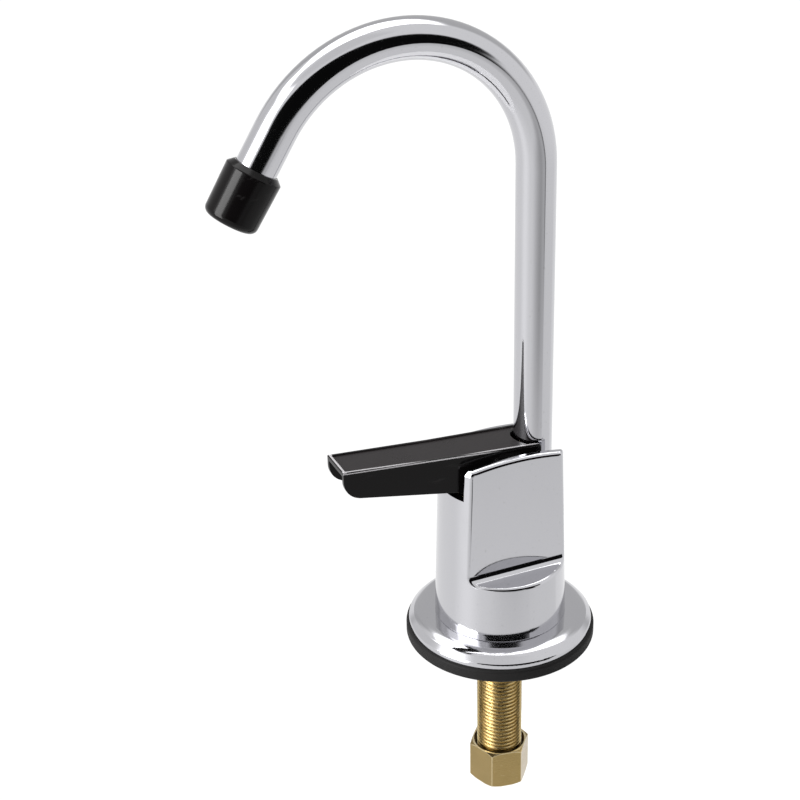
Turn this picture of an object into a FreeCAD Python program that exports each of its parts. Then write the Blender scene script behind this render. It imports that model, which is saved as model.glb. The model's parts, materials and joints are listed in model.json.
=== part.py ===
import FreeCAD, Part
import math
import operator
import os

import Sketcher
from FreeCAD import Placement, Rotation, Vector

# Drinking water faucet: a gooseneck spout, a sprung lift valve and a press-and-flip lever in a
# slotted body on a round base plate, with a threaded shank and a compression nut below the deck.
# Millimetres, +Z up, the lever and the outlet point to -Y. The origin is the centre of the
# gasket's underside, on the deck. The Z axis is the shank's axis.

# Driving sizes, grouped by the piece that they shape: name, value.
SIZES = [
    # General clearances
    ("running_clearance", 0.05),
    ("loose_clearance", 0.30),
    ("seat_gap", 0.05),
    # Base gasket and base plate
    ("gasket_margin", 0.9),
    ("gasket_width", 10.0),
    ("gasket_thickness", 4.4),
    ("gasket_rounding", 1.0),
    ("plate_rim_radius", 29.1),
    ("plate_height", 4.3),
    ("plate_shoulder_width", 3.35),
    ("plate_shoulder_rounding", 6.0),
    ("plate_bevel_width", 1.6),
    ("plate_bevel_drop", 1.25),
    ("plate_edge_height", 1.45),
    ("plate_edge_rounding", 0.8),
    ("plate_wall", 1.6),
    ("plate_ceiling_inset", 0.6),
    # Body shell
    ("shell_bottom_radius", 20.77),
    ("shell_top_radius", 19.06),
    ("shell_height", 59.2),
    ("shell_cavity_radius", 17.4),
    ("shell_recess_height", 3.2),
    ("shell_roof_thickness", 3.4),
    ("front_wall_height", 47.6),
    ("cheek_half_width", 11.4),
    ("cheek_rounding", 1.2),
    ("slot_half_width", 8.9),
    ("slot_rounding", 0.4),
    ("well_back", 8.0),
    ("ear_front_rounding", 2.0),
    ("ear_back_rounding", 1.2),
    ("shell_foot_rounding", 0.3),
    ("ledge_height", 19.25),
    ("cove_radius", 2.35),
    ("crown_radius", 92.0),
    # Spout
    ("riser_offset", 10.95),
    ("tube_radius", 5.96),
    ("tube_wall", 1.0),
    ("bend_height", 156.2),
    ("bend_radius", 42.2),
    ("bend_angle", 148.15),
    ("outlet_run", 23.8),
    ("tip_start", 11.3),
    ("tip_length", 16.5),
    ("tip_top_radius", 8.05),
    ("tip_bottom_radius", 7.75),
    ("tip_chamfer_width", 1.9),
    ("tip_chamfer_height", 1.5),
    ("tip_rounding", 2.0),
    ("tip_mouth_radius", 4.4),
    # Spout end fitting, its seals and its retaining ring
    ("stub_radius", 4.9),
    ("stub_bore_radius", 2.8),
    ("stub_length", 19.5),
    ("stub_insertion", 8.0),
    ("seal_section_radius", 0.65),
    ("seal_groove_width", 1.6),
    ("lower_seal_rise", 2.4),
    ("upper_seal_rise", 5.4),
    ("snap_groove_depth", 0.8),
    ("snap_ring_width", 1.35),
    ("snap_ring_thickness", 1.0),
    ("snap_ring_rise", 7.7),
    ("snap_ring_gap", 3.0),
    ("spout_washer_thickness", 1.0),
    # Valve body
    ("foot_radius", 16.7),
    ("foot_thickness", 3.0),
    ("tower_height", 40.3),
    ("valve_offset", 5.0),
    ("valve_column_radius", 7.2),
    ("socket_wall", 1.15),
    ("socket_depth", 15.5),
    ("shank_boss_radius", 8.6),
    ("web_half_width", 3.5),
    ("chamber_radius", 4.4),
    ("chamber_depth", 16.0),
    ("plenum_radius", 5.8),
    ("plenum_height", 2.5),
    ("passage_radius", 2.0),
    ("passage_drop", 13.0),
    # Valve seat, stem, washer and spring
    ("seat_radius", 3.4),
    ("seat_height", 3.5),
    ("seat_bore_radius", 2.0),
    ("seat_rim_height", 0.5),
    ("seat_rim_radius", 2.8),
    ("disc_radius", 3.2),
    ("disc_thickness", 2.0),
    ("disc_cup_depth", 1.2),
    ("disc_holder_radius", 3.7),
    ("disc_holder_height", 3.2),
    ("disc_screw_head_radius", 1.5),
    ("disc_screw_head_height", 1.0),
    ("disc_screw_radius", 0.9),
    ("disc_screw_length", 5.0),
    ("stem_radius", 2.0),
    ("tongue_thickness", 3.0),
    ("tongue_rise", 1.9),
    ("tongue_rounding", 1.4),
    ("spring_radius", 3.1),
    ("spring_wire_radius", 0.4),
    ("spring_turns", 4.0),
    # Bonnet and its seals
    ("bonnet_thread_radius", 4.9),
    ("bonnet_thread_length", 4.5),
    ("bonnet_flat_width", 10.4),
    ("bonnet_head_height", 5.8),
    ("bonnet_washer_radius", 6.0),
    ("bonnet_washer_thickness", 0.6),
    ("gland_radius", 3.5),
    ("gland_height", 1.6),
    ("gland_rise", 2.2),
    ("gland_seal_radius", 0.68),
    # Lever and its pin
    ("pin_height", 66.2),
    ("pin_radius", 0.9),
    ("pin_half_length", 6.9),
    ("lever_tip", 54.2),
    ("lever_tip_height", 73.9),
    ("lever_heel_height", 68.9),
    ("lever_sag", 0.3),
    ("lever_plate_thickness", 1.5),
    ("lever_tip_half_width", 6.3),
    ("lever_heel_half_width", 7.35),
    ("lever_channel_half_width", 5.2),
    ("lever_heel", 10.4),
    ("ear_relief_start", 2.0),
    ("ear_bottom_height", 64.9),
    ("flange_tip_depth", 8.7),
    ("flange_front_rounding", 6.5),
    ("flange_rear_height", 58.5),
    ("flange_rear", 18.0),
    ("lobe_front_reach", 6.0),
    ("lobe_rear_reach", 1.5),
    ("lobe_top_reach", 3.0),
    ("lobe_gap_half_width", 2.9),
    ("notch_gap", 1.1),
    ("lip_width", 1.0),
    ("lip_height", 0.5),
    ("lever_edge_rounding", 0.5),
    ("lip_inner_rounding", 0.25),
    ("ear_corner_rounding", 1.6),
    # Shank, its washer and the body screws
    ("shank_radius", 7.14),
    ("shank_engagement", 15.8),
    ("shank_drop", 53.0),
    ("shank_bore_radius", 3.9),
    ("thread_pitch", 1.4111),
    ("thread_depth", 0.78),
    ("thread_flat", 0.22),
    ("thread_count", 34),
    ("shank_washer_thickness", 1.0),
    ("supply_radius", 4.85),
    ("supply_depth", 10.0),
    ("screw_offset", 13.0),
    ("screw_radius", 1.2),
    ("screw_head_radius", 2.2),
    ("screw_head_height", 1.6),
    ("screw_grip", 7.0),
    # Compression nut and sleeve
    ("nut_flat_width", 17.46),
    ("nut_height", 13.5),
    ("nut_drop", 44.0),
    ("nut_chamfer_radius", 8.9),
    ("nut_turn", 20.0),
    ("nut_countersink_radius", 8.4),
    ("nut_countersink_depth", 2.2),
    ("nut_web", 2.0),
    ("sleeve_radius", 6.8),
    ("sleeve_end_radius", 6.0),
    ("sleeve_length", 2.5),
]

SHEET_NAME = "sizes"
OPERATIONS = {"+": operator.add, "-": operator.sub, "*": operator.mul, "/": operator.truediv}
FULL_TURN = 360.0
HEXAGON_SIDES = 6
CHAMFER_SLOPE = 1.732
OVERSHOOT = 40.0
NEAR = 1e-4


class Measure:
    """A number together with the sheet formula that gives it."""

    def __init__(self, value, text):
        self.value = float(value)
        self.text = text

    def __add__(self, other):
        return combine(self, "+", other)

    def __radd__(self, other):
        return combine(other, "+", self)

    def __sub__(self, other):
        return combine(self, "-", other)

    def __rsub__(self, other):
        return combine(other, "-", self)

    def __mul__(self, other):
        return combine(self, "*", other)

    def __rmul__(self, other):
        return combine(other, "*", self)

    def __truediv__(self, other):
        return combine(self, "/", other)

    def __neg__(self):
        return combine(0.0, "-", self)


def as_measure(thing):
    if isinstance(thing, Measure):
        return thing
    return Measure(thing, "(%.6f)" % thing)


def combine(left, sign, right):
    left = as_measure(left)
    right = as_measure(right)
    value = OPERATIONS[sign](left.value, right.value)
    return Measure(value, "(%s %s %s)" % (left.text, sign, right.text))


def sine(angle):
    angle = as_measure(angle)
    return Measure(math.sin(math.radians(angle.value)), "sin(%s)" % angle.text)


def cosine(angle):
    angle = as_measure(angle)
    return Measure(math.cos(math.radians(angle.value)), "cos(%s)" % angle.text)


def root(square):
    square = as_measure(square)
    return Measure(math.sqrt(square.value), "sqrt(%s)" % square.text)


class Sizes:
    """The driving sizes: each attribute is a cell of the spreadsheet."""

    def __init__(self, document):
        sheet = document.addObject("Spreadsheet::Sheet", SHEET_NAME)
        for row, (name, value) in enumerate(SIZES, start=1):
            sheet.set("A%d" % row, name)
            sheet.set("B%d" % row, "%g" % value)
            sheet.setAlias("B%d" % row, name)
            setattr(self, name, Measure(value, "%s.%s" % (SHEET_NAME, name)))


doc = FreeCAD.newDocument("DrinkingFaucet")
size = Sizes(doc)
doc.recompute()
subparts = []


def bind(thing, name, measure):
    """Sets a property and ties it to the sheet."""
    measure = as_measure(measure)
    if "." not in name:
        setattr(thing, name, measure.value)
    thing.setExpression(name, measure.text)


def place(thing, x=0.0, y=0.0, z=0.0):
    """Moves an object to a place that the sheet gives."""
    place_x, place_y, place_z = as_measure(x), as_measure(y), as_measure(z)
    thing.Placement = Placement(Vector(place_x.value, place_y.value, place_z.value), thing.Placement.Rotation)
    for axis, measure in (("x", place_x), ("y", place_y), ("z", place_z)):
        bind(thing, ".Placement.Base.%s" % axis, measure)


def keep(thing, node):
    """Names an object as a sub-part that is written out."""
    thing.Label = node
    subparts.append(thing)
    return thing


# Part primitives and booleans


def cylinder(name, radius, height, x=0.0, y=0.0, z=0.0):
    solid = doc.addObject("Part::Cylinder", name)
    bind(solid, "Radius", radius)
    bind(solid, "Height", height)
    place(solid, x, y, z)
    return solid


def cone(name, bottom_radius, top_radius, height, x=0.0, y=0.0, z=0.0):
    solid = doc.addObject("Part::Cone", name)
    bind(solid, "Radius1", bottom_radius)
    bind(solid, "Radius2", top_radius)
    bind(solid, "Height", height)
    place(solid, x, y, z)
    return solid


def box(name, half_width, front, back, bottom, top):
    """A box that is centred on X and runs from front to back in Y."""
    solid = doc.addObject("Part::Box", name)
    bind(solid, "Length", half_width * 2)
    bind(solid, "Width", as_measure(back) - front)
    bind(solid, "Height", as_measure(top) - bottom)
    place(solid, -half_width, front, bottom)
    return solid


def torus(name, ring_radius, section_radius, x=0.0, y=0.0, z=0.0):
    solid = doc.addObject("Part::Torus", name)
    bind(solid, "Radius1", ring_radius)
    bind(solid, "Radius2", section_radius)
    place(solid, x, y, z)
    return solid


def fuse(name, *shapes):
    joined = doc.addObject("Part::MultiFuse", name)
    joined.Shapes = list(shapes)
    return joined


def common(name, *shapes):
    shared = doc.addObject("Part::MultiCommon", name)
    shared.Shapes = list(shapes)
    return shared


def cut(name, base, tool):
    left = doc.addObject("Part::Cut", name)
    left.Base = base
    left.Tool = tool
    return left


# PartDesign bodies and sketches


def new_body(name):
    return doc.addObject("PartDesign::Body", name)


def new_sketch(body, name, role):
    """A sketch on one of the body's own origin planes."""
    sketch = body.newObject("Sketcher::SketchObject", name)
    plane = next(plane for plane in body.Origin.OriginFeatures if plane.Role == role)
    sketch.AttachmentSupport = [(plane, "")]
    sketch.MapMode = "FlatFace"
    return sketch


def fix_point(sketch, geometry, end, x, y):
    """Ties a point of the sketch to the sheet."""
    for kind, measure in (("DistanceX", as_measure(x)), ("DistanceY", as_measure(y))):
        index = sketch.addConstraint(Sketcher.Constraint(kind, -1, 1, geometry, end, measure.value))
        sketch.setExpression("Constraints[%d]" % index, measure.text)


def fix_radius(sketch, geometry, radius):
    index = sketch.addConstraint(Sketcher.Constraint("Radius", geometry, as_measure(radius).value))
    sketch.setExpression("Constraints[%d]" % index, as_measure(radius).text)


def draw_outline(sketch, points):
    """A closed outline of straight sides, each corner tied to the sheet."""
    corners = [(as_measure(x), as_measure(y)) for x, y in points]
    first = sketch.GeometryCount
    count = len(corners)
    for index, (x, y) in enumerate(corners):
        next_x, next_y = corners[(index + 1) % count]
        sketch.addGeometry(Part.LineSegment(Vector(x.value, y.value, 0), Vector(next_x.value, next_y.value, 0)))
    for index in range(count):
        follower = first + (index + 1) % count
        sketch.addConstraint(Sketcher.Constraint("Coincident", first + index, 2, follower, 1))
    for index, (x, y) in enumerate(corners):
        fix_point(sketch, first + index, 1, x, y)


def draw_circle(sketch, radius, x=0.0, y=0.0):
    radius, x, y = as_measure(radius), as_measure(x), as_measure(y)
    index = sketch.addGeometry(Part.Circle(Vector(x.value, y.value, 0), Vector(0, 0, 1), radius.value))
    fix_point(sketch, index, 3, x, y)
    fix_radius(sketch, index, radius)


def profile_feature(body, kind, name, sketch):
    feature = body.newObject("PartDesign::%s" % kind, name)
    feature.Profile = sketch
    return feature


def revolve(body, name, sketch, kind="Revolution"):
    """Turns a sketch about its own vertical axis, to add or to cut."""
    feature = profile_feature(body, kind, name, sketch)
    feature.ReferenceAxis = (sketch, ["V_Axis"])
    feature.Angle = FULL_TURN
    doc.recompute()
    return feature


def extrude(body, kind, name, sketch, length, both_ways=False, backwards=False):
    feature = profile_feature(body, kind, name, sketch)
    bind(feature, "Length", length)
    feature.SideType = "Symmetric" if both_ways else "One side"
    feature.Reversed = backwards
    doc.recompute()
    return feature


def solid_volume(body):
    return body.Tip.Shape.Volume


def pocket(body, name, sketch, length, both_ways=False, backwards=False):
    """A pocket that has to take material away."""
    before = solid_volume(body)
    feature = extrude(body, "Pocket", name, sketch, length, both_ways, backwards)
    if before - solid_volume(body) < NEAR:
        raise ValueError("pocket %s cuts nothing" % name)
    return feature


def edge_names(shape, wanted):
    """Names of the edges whose middle point passes the test."""
    names = []
    for number, edge in enumerate(shape.Edges, start=1):
        middle = edge.valueAt((edge.FirstParameter + edge.LastParameter) / 2)
        if wanted(edge, middle):
            names.append("Edge%d" % number)
    return names


def round_edges(body, name, radius, wanted, kind="Fillet"):
    base = body.Tip
    names = edge_names(base.Shape, wanted)
    if not names:
        raise ValueError("no edge for %s" % name)
    feature = body.newObject("PartDesign::%s" % kind, name)
    feature.Base = (base, names)
    bind(feature, "Radius" if kind == "Fillet" else "Size", radius)
    doc.recompute()
    return feature


def on_circle(radius, height):
    """A test for full edges that lie on a circle about the body's own axis."""
    def wanted(edge, middle):
        distance = math.hypot(middle.x, middle.y)
        return abs(distance - radius.value) < NEAR and abs(middle.z - height.value) < NEAR
    return wanted


def turned(node, points, x=0.0, y=0.0, z=0.0):
    """A turned piece from the outline of its half section, as radius and height."""
    body = new_body(node)
    sketch = new_sketch(body, node + "_section", "XZ_Plane")
    draw_outline(sketch, points)
    revolve(body, node + "_turn", sketch)
    place(body, x, y, z)
    return keep(body, node)


# Levels and places that several pieces share

gasket_radius = size.plate_rim_radius + size.gasket_margin
gasket_inner = gasket_radius - size.gasket_width
plate_bottom = size.gasket_thickness
plate_top = plate_bottom + size.plate_height
body_bottom = plate_top
ledge_level = body_bottom + size.ledge_height
front_wall_top = body_bottom + size.front_wall_height
crown_top = body_bottom + size.shell_height
roof_bottom = front_wall_top - size.shell_roof_thickness
tower_top = body_bottom + size.tower_height
riser_y = size.riser_offset
valve_y = -size.valve_offset
shank_top = body_bottom + size.shank_engagement
plenum_bottom = shank_top + size.shank_washer_thickness
plenum_top = plenum_bottom + size.plenum_height
chamber_floor = tower_top - size.chamber_depth
seat_bottom = chamber_floor - size.seat_height
seat_top = chamber_floor + size.seat_rim_height
disc_top = seat_top + size.disc_thickness
holder_bottom = disc_top - size.disc_cup_depth
holder_top = holder_bottom + size.disc_holder_height
bonnet_bottom = tower_top - size.bonnet_thread_length
bonnet_head_bottom = tower_top + size.bonnet_washer_thickness
bonnet_top = bonnet_head_bottom + size.bonnet_head_height
riser_bottom = tower_top + size.spout_washer_thickness
socket_radius = size.stub_radius + size.running_clearance * 2
socket_bottom = tower_top - size.socket_depth
socket_column_radius = socket_radius + size.socket_wall
stub_bottom = riser_bottom + size.stub_insertion - size.stub_length
thread_wall = size.shank_radius + size.running_clearance
nut_top = -size.nut_drop
nut_bottom = nut_top - size.nut_height
shank_bottom = -size.shank_drop
sleeve_bottom = shank_bottom - size.sleeve_length


# Base gasket and base plate


def make_base_gasket():
    body = turned("base_gasket", [
        (gasket_inner, 0.0),
        (gasket_radius, 0.0),
        (gasket_radius, size.gasket_thickness),
        (gasket_inner, size.gasket_thickness),
    ])
    def outer_rim(edge, middle):
        return abs(math.hypot(middle.x, middle.y) - gasket_radius.value) < NEAR and len(edge.Vertexes) == 1
    round_edges(body, "base_gasket_rounding", size.gasket_rounding, outer_rim)


def make_base_plate():
    """A flat ring below the body, a rounded shoulder, a bevel and a short upright edge."""
    rim = size.plate_rim_radius
    wall = size.plate_wall
    shoulder = rim - size.plate_shoulder_width
    bevel = rim - size.plate_bevel_width
    edge_top = plate_bottom + size.plate_edge_height
    ceiling = plate_top - wall
    hole = size.shank_radius + size.loose_clearance
    body = turned("base_plate", [
        (hole, ceiling),
        (hole, plate_top),
        (shoulder, plate_top),
        (bevel, plate_top - size.plate_bevel_drop),
        (rim, edge_top),
        (rim, plate_bottom),
        (rim - wall, plate_bottom),
        (rim - wall, edge_top - size.loose_clearance),
        (shoulder - size.plate_ceiling_inset, ceiling),
    ])
    round_edges(body, "shoulder_rounding", size.plate_shoulder_rounding, on_circle(shoulder, plate_top))
    round_edges(body, "edge_rounding", size.plate_edge_rounding, on_circle(rim, edge_top))
    return body


# Body shell: a hollow casting with flat cheeks, a lever slot and a ledge below each cheek


def make_body_shell():
    body = new_body("body_shell")
    place(body)
    outer = new_sketch(body, "shell_section", "XZ_Plane")
    draw_outline(outer, [
        (0.0, body_bottom),
        (size.shell_bottom_radius, body_bottom),
        (size.shell_top_radius, crown_top),
        (0.0, crown_top),
    ])
    revolve(body, "shell_turn", outer)
    cut_crown(body)
    cut_cheeks(body)
    cut_slot(body)
    round_ears(body)
    round_cheeks(body)
    cut_cavity(body)
    cut_well(body)
    cut_riser_hole(body)
    cut_foot_recess(body)
    cut_screw_holes(body)
    return keep(body, "body_shell")


def cut_crown(body):
    """The top is an arc in side view, highest over the shank's axis."""
    sketch = new_sketch(body, "crown_sketch", "YZ_Plane")
    reach = size.shell_bottom_radius + size.loose_clearance
    drop = size.crown_radius - root(size.crown_radius * size.crown_radius - reach * reach)
    low = crown_top - drop
    high = crown_top + size.shell_roof_thickness
    centre = crown_top - size.crown_radius
    start = math.degrees(math.asin(reach.value / size.crown_radius.value))
    arc = Part.ArcOfCircle(
        Part.Circle(Vector(0, centre.value, 0), Vector(0, 0, 1), size.crown_radius.value),
        math.radians(90.0 - start), math.radians(90.0 + start))
    sketch.addGeometry(arc)
    corners = [(-reach, low), (-reach, high), (reach, high), (reach, low)]
    for (x, y), (next_x, next_y) in zip(corners, corners[1:]):
        sketch.addGeometry(Part.LineSegment(Vector(x.value, y.value, 0), Vector(next_x.value, next_y.value, 0)))
    sketch.addConstraint(Sketcher.Constraint("Coincident", 0, 2, 1, 1))
    sketch.addConstraint(Sketcher.Constraint("Coincident", 1, 2, 2, 1))
    sketch.addConstraint(Sketcher.Constraint("Coincident", 2, 2, 3, 1))
    sketch.addConstraint(Sketcher.Constraint("Coincident", 3, 2, 0, 1))
    fix_point(sketch, 0, 3, 0.0, centre)
    fix_radius(sketch, 0, size.crown_radius)
    for index, (x, y) in enumerate(corners[:2], start=1):
        fix_point(sketch, index, 1, x, y) if index == 2 else fix_side(sketch, index, x)
    fix_point(sketch, 3, 1, *corners[2])
    fix_side(sketch, 3, corners[3][0], end=2)
    pocket(body, "crown_cut", sketch, size.shell_bottom_radius * 4, both_ways=True)


def fix_side(sketch, geometry, x, end=1):
    """Ties only the sideways place of a point, where a circle settles the other."""
    index = sketch.addConstraint(Sketcher.Constraint("DistanceX", -1, 1, geometry, end, as_measure(x).value))
    sketch.setExpression("Constraints[%d]" % index, as_measure(x).text)


def cut_cheeks(body):
    """Both flat cheeks, each ending in a cove above a level ledge."""
    sketch = new_sketch(body, "cheek_sketch", "XZ_Plane")
    cheek = size.cheek_half_width
    cove = size.cove_radius
    far = size.shell_bottom_radius + size.loose_clearance
    high = crown_top + size.shell_roof_thickness
    for side in (1.0, -1.0):
        first = sketch.GeometryCount
        corners = [
            (cheek * side, ledge_level + cove),
            (cheek * side, high),
            (far * side, high),
            (far * side, ledge_level),
            ((cheek + cove) * side, ledge_level),
        ]
        for (x, y), (next_x, next_y) in zip(corners, corners[1:]):
            sketch.addGeometry(Part.LineSegment(Vector(x.value, y.value, 0), Vector(next_x.value, next_y.value, 0)))
        centre = Vector(((cheek + cove) * side).value, (ledge_level + cove).value, 0)
        quarter = Part.Circle(centre, Vector(0, 0, 1), cove.value)
        start, stop = (180.0, 270.0) if side > 0 else (270.0, 360.0)
        arc = sketch.addGeometry(Part.ArcOfCircle(quarter, math.radians(start), math.radians(stop)))
        for index in range(first, first + 3):
            sketch.addConstraint(Sketcher.Constraint("Coincident", index, 2, index + 1, 1))
        cheek_end, ledge_end = (1, 2) if side > 0 else (2, 1)
        sketch.addConstraint(Sketcher.Constraint("Coincident", first, 1, arc, cheek_end))
        sketch.addConstraint(Sketcher.Constraint("Coincident", first + 3, 2, arc, ledge_end))
        fix_point(sketch, arc, 3, (cheek + cove) * side, ledge_level + cove)
        for index, (x, y) in enumerate(corners[:4]):
            fix_point(sketch, first + index, 1, x, y)
        fix_side(sketch, first + 3, corners[4][0], end=2)
    pocket(body, "cheek_cut", sketch, size.shell_bottom_radius * 4, both_ways=True)


def round_ears(body):
    """The ends of both ears are rounded in side view, more at the front than at the back."""
    def end_edge(edge, middle):
        direction = edge.tangentAt((edge.FirstParameter + edge.LastParameter) / 2)
        outside = abs(middle.x) > size.slot_half_width.value + NEAR
        return middle.z > front_wall_top.value + NEAR and outside and abs(direction.y) < 0.8 and abs(direction.z) < 0.8
    round_edges(body, "ear_front_round", size.ear_front_rounding,
                lambda edge, middle: middle.y < 0 and end_edge(edge, middle))
    round_edges(body, "ear_back_round", size.ear_back_rounding,
                lambda edge, middle: middle.y > 0 and end_edge(edge, middle))


def round_cheeks(body):
    """One rounding runs all round each cheek: over the ear, down its sides and along the ledge."""
    cheek = size.cheek_half_width.value
    def ear_top(edge, middle):
        return abs(abs(middle.x) - cheek) < NEAR and middle.z > front_wall_top.value and runs_forward(edge)
    def slot_top(edge, middle):
        inside = abs(abs(middle.x) - size.slot_half_width.value) < NEAR
        return inside and middle.z > front_wall_top.value + size.ear_front_rounding.value
    def foot(edge, middle):
        outer = abs(math.hypot(middle.x, middle.y) - size.shell_bottom_radius.value) < NEAR
        return outer and abs(middle.z - body_bottom.value) < NEAR
    round_edges(body, "cheek_rounding_all", size.cheek_rounding, ear_top)
    round_edges(body, "slot_rounding_all", size.slot_rounding, slot_top)
    round_edges(body, "foot_rounding", size.shell_foot_rounding, foot)


def runs_forward(edge):
    return abs(edge.tangentAt(edge.FirstParameter).y) > 0.9 and abs(edge.tangentAt(edge.LastParameter).y) > 0.9


def cavity_outline(sketch, back):
    """The inside is a round bore with flat sides, which can end at a straight back."""
    half = size.slot_half_width
    radius = size.shell_cavity_radius
    reach = root(radius * radius - half * half)
    turn = math.degrees(math.acos(half.value / radius.value))
    rim = Part.Circle(Vector(0, 0, 0), Vector(0, 0, 1), radius.value)
    far = reach if back is None else back
    sketch.addGeometry(Part.LineSegment(Vector(half.value, -reach.value, 0), Vector(half.value, far.value, 0)))
    if back is None:
        sketch.addGeometry(Part.ArcOfCircle(rim, math.radians(turn), math.radians(180.0 - turn)))
    else:
        sketch.addGeometry(Part.LineSegment(Vector(half.value, far.value, 0), Vector(-half.value, far.value, 0)))
    sketch.addGeometry(Part.LineSegment(Vector(-half.value, far.value, 0), Vector(-half.value, -reach.value, 0)))
    sketch.addGeometry(Part.ArcOfCircle(rim, math.radians(180.0 + turn), math.radians(360.0 - turn)))
    for index in range(4):
        sketch.addConstraint(Sketcher.Constraint("Coincident", index, 2, (index + 1) % 4, 1))
    for arc in (3,) if back is not None else (1, 3):
        sketch.addConstraint(Sketcher.Constraint("Coincident", arc, 3, -1, 1))
        fix_radius(sketch, arc, radius)
    fix_side(sketch, 0, half)
    fix_side(sketch, 2, -half, end=2)
    if back is None:
        fix_side(sketch, 0, half, end=2)
        fix_side(sketch, 2, -half)
    else:
        fix_point(sketch, 0, 2, half, far)
        fix_point(sketch, 2, 1, -half, far)


def cut_cavity(body):
    sketch = new_sketch(body, "cavity_sketch", "XY_Plane")
    bind(sketch, ".AttachmentOffset.Base.z", body_bottom + size.shell_recess_height)
    cavity_outline(sketch, None)
    height = roof_bottom - body_bottom - size.shell_recess_height
    pocket(body, "cavity_cut", sketch, height, backwards=True)


def cut_well(body):
    """The cavity is open to the slot in front of the riser, and closed by a floor round the riser."""
    sketch = new_sketch(body, "well_sketch", "XY_Plane")
    bind(sketch, ".AttachmentOffset.Base.z", roof_bottom)
    cavity_outline(sketch, size.well_back)
    pocket(body, "well_cut", sketch, size.shell_roof_thickness + size.loose_clearance, backwards=True)


def cut_slot(body):
    """The slot for the lever and the riser, open at the front, at the back and at the top."""
    sketch = new_sketch(body, "slot_sketch", "XZ_Plane")
    high = crown_top + size.shell_roof_thickness
    half = size.slot_half_width
    draw_outline(sketch, [(-half, front_wall_top), (half, front_wall_top), (half, high), (-half, high)])
    pocket(body, "slot_cut", sketch, size.shell_bottom_radius * 4, both_ways=True)


def cut_riser_hole(body):
    sketch = new_sketch(body, "riser_hole_sketch", "XY_Plane")
    bind(sketch, ".AttachmentOffset.Base.z", tower_top)
    draw_circle(sketch, size.tube_radius + size.loose_clearance, 0.0, riser_y)
    pocket(body, "riser_hole_cut", sketch, size.shell_height, backwards=True)


def cut_foot_recess(body):
    sketch = new_sketch(body, "recess_sketch", "XY_Plane")
    bind(sketch, ".AttachmentOffset.Base.z", body_bottom)
    draw_circle(sketch, size.shell_cavity_radius)
    pocket(body, "recess_cut", sketch, size.shell_recess_height, backwards=True)


def cut_screw_holes(body):
    sketch = new_sketch(body, "screw_hole_sketch", "XY_Plane")
    bind(sketch, ".AttachmentOffset.Base.z", body_bottom)
    for side in (1.0, -1.0):
        draw_circle(sketch, size.screw_radius + size.running_clearance, size.screw_offset * side, 0.0)
    depth = size.foot_thickness + size.screw_grip + size.loose_clearance
    pocket(body, "screw_hole_cut", sketch, depth, backwards=True)


# Valve body: one brass casting with the shank's boss, the valve column and the spout's socket


def make_valve_body():
    foot = cylinder("valve_foot", size.foot_radius, size.foot_thickness, z=body_bottom)
    boss_height = plenum_top + size.plate_wall - body_bottom
    boss = cylinder("shank_boss", size.shank_boss_radius, boss_height, z=body_bottom)
    column = cylinder("valve_column", size.valve_column_radius, size.tower_height, y=valve_y, z=body_bottom)
    socket = cylinder("socket_column", socket_column_radius, size.tower_height, y=riser_y, z=body_bottom)
    web = box("tower_web", size.web_half_width, valve_y, riser_y, body_bottom, tower_top)
    solid = fuse("valve_body_solid", foot, boss, column, socket, web)
    overlap = size.loose_clearance
    bores = [
        cylinder("shank_hole", thread_wall, plenum_bottom - body_bottom + overlap, z=body_bottom - overlap),
        cylinder("plenum_hole", size.plenum_radius, plenum_top - plenum_bottom + overlap, z=plenum_bottom - overlap),
        cylinder("seat_passage", size.passage_radius, seat_bottom - plenum_bottom, y=valve_y, z=plenum_bottom + overlap),
        cylinder("seat_pocket", size.seat_radius + size.seat_gap, size.seat_height + overlap, y=valve_y,
                 z=seat_bottom),
        cylinder("chamber_hole", size.chamber_radius, size.chamber_depth, y=valve_y, z=chamber_floor),
        cylinder("bonnet_hole", size.bonnet_thread_radius + size.running_clearance,
                 size.bonnet_thread_length + overlap, y=valve_y, z=bonnet_bottom),
        cylinder("socket_hole", socket_radius, size.socket_depth + overlap, y=riser_y, z=socket_bottom),
        cylinder("snap_groove", socket_snap_radius(), size.snap_ring_thickness + size.running_clearance * 2,
                 y=riser_y, z=snap_ring_bottom() - size.running_clearance),
        cross_passage(),
    ]
    for side, word in ((1.0, "right"), (-1.0, "left")):
        x = size.screw_offset * side
        bores.append(cylinder("foot_hole_" + word, size.screw_radius + size.running_clearance,
                              size.foot_thickness + overlap, x=x, z=body_bottom))
        bores.append(cylinder("head_hole_" + word, size.screw_head_radius + size.running_clearance,
                              size.screw_head_height + overlap, x=x, z=body_bottom - overlap))
    keep(cut("valve_body", solid, fuse("valve_body_bores", *bores)), "valve_body")


def snap_ring_bottom():
    return stub_bottom + size.snap_ring_rise


def socket_snap_radius():
    return size.stub_radius - size.snap_groove_depth + size.snap_ring_width + size.running_clearance * 4


def cross_passage():
    """The drilled way from the valve chamber to the spout's socket."""
    hole = cylinder("cross_passage", size.passage_radius, riser_y - valve_y, y=valve_y,
                    z=tower_top - size.passage_drop)
    hole.Placement = Placement(hole.Placement.Base, Rotation(Vector(1, 0, 0), -90.0))
    return hole


# Valve: seat, stem, washer, screw, spring, bonnet and its seals


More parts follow.
